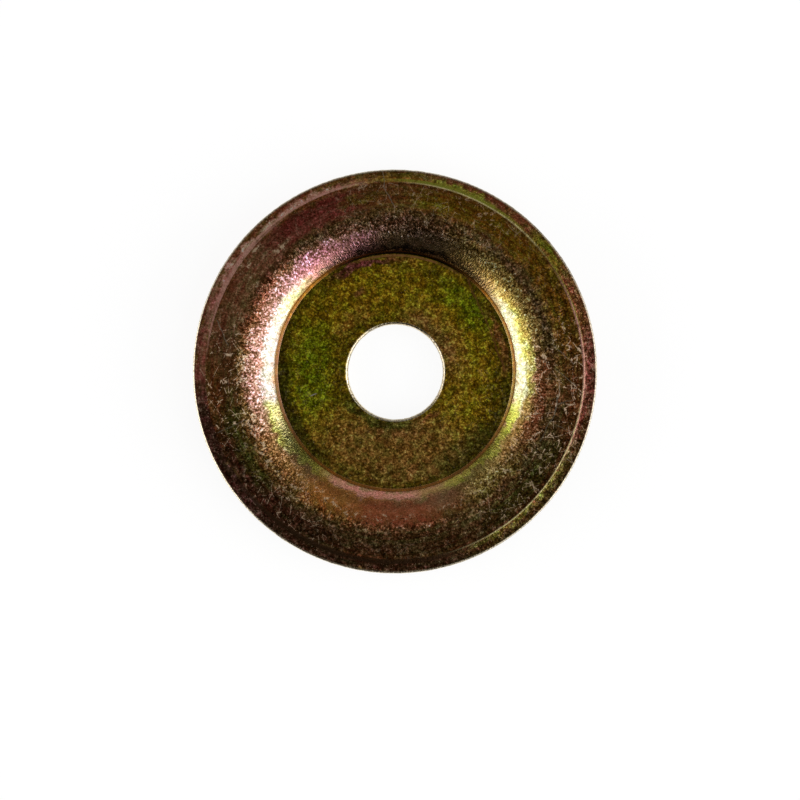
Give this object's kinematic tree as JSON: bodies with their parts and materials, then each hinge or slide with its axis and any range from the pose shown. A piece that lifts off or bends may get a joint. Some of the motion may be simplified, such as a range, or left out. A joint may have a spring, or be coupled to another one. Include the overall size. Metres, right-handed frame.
{
  "type": "dished washer",
  "caption": "Round dished washer stamped from sheet steel, with a recessed flat floor round a central hole, a rounded wall, a flat flange and a slightly turned-down rim.",
  "frame": {"origin": "centre of the floor's underside, on the hole's axis", "axes": "+Z along the hole's axis, up out of the dish"},
  "size_m": [0.0426, 0.0426, 0.0043],
  "materials": {
    "yellow_zinc": "yellow passivated zinc plating, satin, with iridescent green and pink tints, scuffed"
  },
  "bodies": {
    "root": {"dished_washer": "yellow_zinc"}
  },
  "joints": []
}
